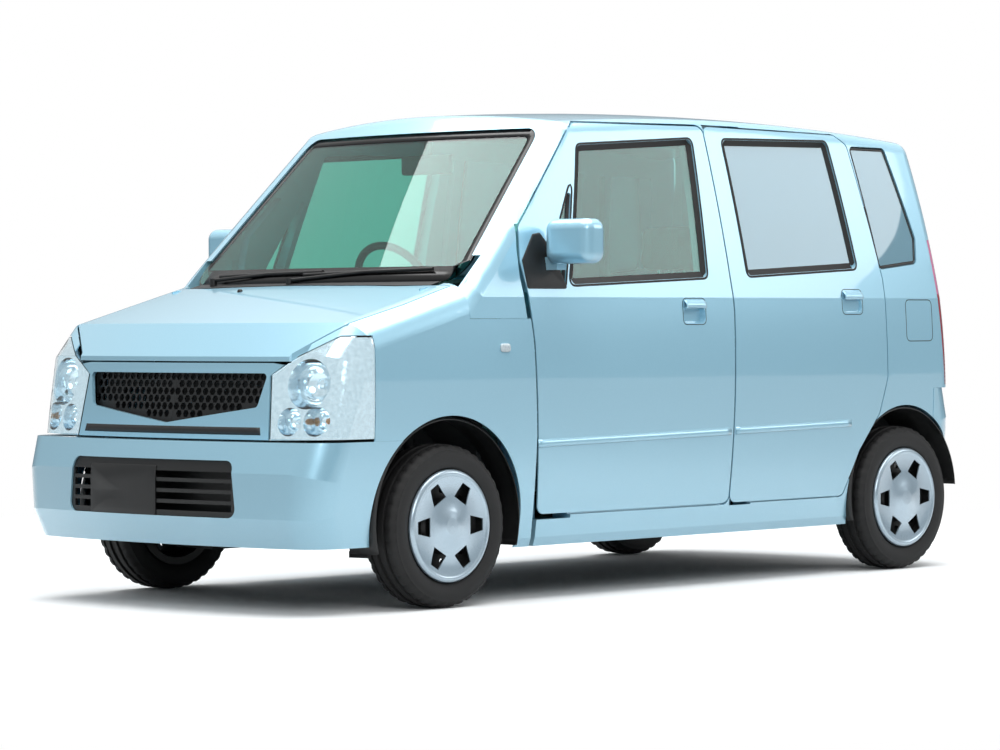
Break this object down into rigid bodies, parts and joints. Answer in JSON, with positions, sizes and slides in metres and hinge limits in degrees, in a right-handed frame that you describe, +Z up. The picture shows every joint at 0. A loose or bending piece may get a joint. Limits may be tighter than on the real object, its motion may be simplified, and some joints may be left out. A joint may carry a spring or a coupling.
{
  "type": "kei car",
  "caption": "Tall narrow five-door city car with short hood, upright cabin, lamps at the corners and small wheels; doors, hood, tailgate, steering and wheels move.",
  "frame": {"origin": "on the ground under the middle of the car", "axes": "+X to the car's left, +Y to its rear, +Z up"},
  "size_m": [1.844, 3.3949, 1.6399],
  "materials": {
    "body_paint": "metallic clear-coated paint",
    "green_glass": "light green tint",
    "privacy_glass": "dark tint",
    "clear_cover": "clear moulded cover",
    "lamp_chrome": "vacuum-coated reflector",
    "red_lens": "red moulded lens",
    "black_plastic": "grained black moulding",
    "seat_fabric": "woven seat cloth",
    "floor_paint": "dark underbody coat",
    "chassis_iron": "black coated",
    "exhaust_steel": "dull steel tube",
    "wheel_silver": "silver paint",
    "wheel_steel": "black paint",
    "tyre_rubber": "matt rubber"
  },
  "bodies": {
    "body": {"body_side_left": "body_paint", "body_side_right": "body_paint", "cabin_mirror": "black_plastic", "cowl_grille": "black_plastic", "dashboard": "black_plastic", "engine": "chassis_iron", "exhaust": "exhaust_steel", "floor_pan": "floor_paint", "front_bumper": "body_paint", "front_fenders": "body_paint", "front_seats": "seat_fabric", "front_structure": "floor_paint", "front_suspension": "chassis_iron", "fuel_tank": "black_plastic", "grille_surround": "body_paint", "grilles": "black_plastic", "headlamp_covers": "clear_cover", "headlamp_housings": "lamp_chrome", "quarter_glass": "privacy_glass", "rear_axle": "chassis_iron", "rear_bumper": "body_paint", "rear_seat": "seat_fabric", "roof": "body_paint", "tail_lamps": "red_lens", "windscreen": "green_glass", "wipers": "black_plastic"},
    "front_door_left": {"front_door_left": "body_paint", "front_glass_left": "green_glass", "door_mirror_left": "body_paint"},
    "front_door_right": {"front_door_right": "body_paint", "front_glass_right": "green_glass", "door_mirror_right": "body_paint"},
    "rear_door_left": {"rear_door_left": "body_paint", "rear_glass_left": "privacy_glass"},
    "rear_door_right": {"rear_door_right": "body_paint", "rear_glass_right": "privacy_glass"},
    "hood": {"hood": "body_paint"},
    "tailgate": {"tailgate": "body_paint", "tailgate_glass": "privacy_glass"},
    "knuckle_left": {"knuckle_left": "chassis_iron"},
    "knuckle_right": {"knuckle_right": "chassis_iron"},
    "steering_wheel": {"steering_wheel": "black_plastic"},
    "wheel_front_left": {"front_left_tyre": "tyre_rubber", "front_left_wheel": "wheel_steel", "front_left_wheel_cover": "wheel_silver"},
    "wheel_front_right": {"front_right_tyre": "tyre_rubber", "front_right_wheel": "wheel_steel", "front_right_wheel_cover": "wheel_silver"},
    "wheel_rear_left": {"rear_left_tyre": "tyre_rubber", "rear_left_wheel": "wheel_steel", "rear_left_wheel_cover": "wheel_silver"},
    "wheel_rear_right": {"rear_right_tyre": "tyre_rubber", "rear_right_wheel": "wheel_steel", "rear_right_wheel_cover": "wheel_silver"}
  },
  "joints": [
    {"name": "wheel_front_left_spin", "type": "hinge", "parent": "knuckle_left", "child": "wheel_front_left", "pos_m": [0.648, -1.0525, 0.26], "axis": [1, 0, 0], "continuous": true},
    {"name": "wheel_front_right_spin", "type": "hinge", "parent": "knuckle_right", "child": "wheel_front_right", "pos_m": [-0.648, -1.0525, 0.26], "axis": [1, 0, 0], "continuous": true},
    {"name": "wheel_rear_left_spin", "type": "hinge", "parent": "body", "child": "wheel_rear_left", "pos_m": [0.645, 1.3075, 0.26], "axis": [1, 0, 0], "continuous": true},
    {"name": "wheel_rear_right_spin", "type": "hinge", "parent": "body", "child": "wheel_rear_right", "pos_m": [-0.645, 1.3075, 0.26], "axis": [1, 0, 0], "continuous": true},
    {"name": "steer_left", "type": "hinge", "parent": "body", "child": "knuckle_left", "pos_m": [0.583, -1.0525, 0.26], "axis": [-0.1867, 0, 0.9824], "range_deg": [-35, 35]},
    {"name": "steer_right", "type": "hinge", "parent": "body", "child": "knuckle_right", "pos_m": [-0.583, -1.0525, 0.26], "axis": [0.1867, 0, 0.9824], "range_deg": [-35, 35]},
    {"name": "steering_wheel_turn", "type": "hinge", "parent": "body", "child": "steering_wheel", "pos_m": [-0.33, -0.248, 1.009], "axis": [0, 0.9063, 0.4226], "range_deg": [-565, 565]},
    {"name": "front_door_left_hinge", "type": "hinge", "parent": "body", "child": "front_door_left", "pos_m": [0.72, -0.58, 0.6], "axis": [0, 0, -1], "range_deg": [0, 68]},
    {"name": "front_door_right_hinge", "type": "hinge", "parent": "body", "child": "front_door_right", "pos_m": [-0.72, -0.58, 0.6], "axis": [0, 0, 1], "range_deg": [0, 68]},
    {"name": "rear_door_left_hinge", "type": "hinge", "parent": "body", "child": "rear_door_left", "pos_m": [0.72, 0.41, 0.6], "axis": [0, 0, -1], "range_deg": [0, 68]},
    {"name": "rear_door_right_hinge", "type": "hinge", "parent": "body", "child": "rear_door_right", "pos_m": [-0.72, 0.41, 0.6], "axis": [0, 0, 1], "range_deg": [0, 68]},
    {"name": "hood_hinge", "type": "hinge", "parent": "body", "child": "hood", "pos_m": [0, -0.94, 1.01], "axis": [-1, 0, 0], "range_deg": [0, 50]},
    {"name": "tailgate_hinge", "type": "hinge", "parent": "body", "child": "tailgate", "pos_m": [0, 1.455, 1.576], "axis": [1, 0, 0], "range_deg": [0, 80]}
  ],
  "couplings": [
    {"joint": "steer_right", "follows": "steer_left", "ratio": 1},
    {"joint": "steering_wheel_turn", "follows": "steer_left", "ratio": 16}
  ]
}
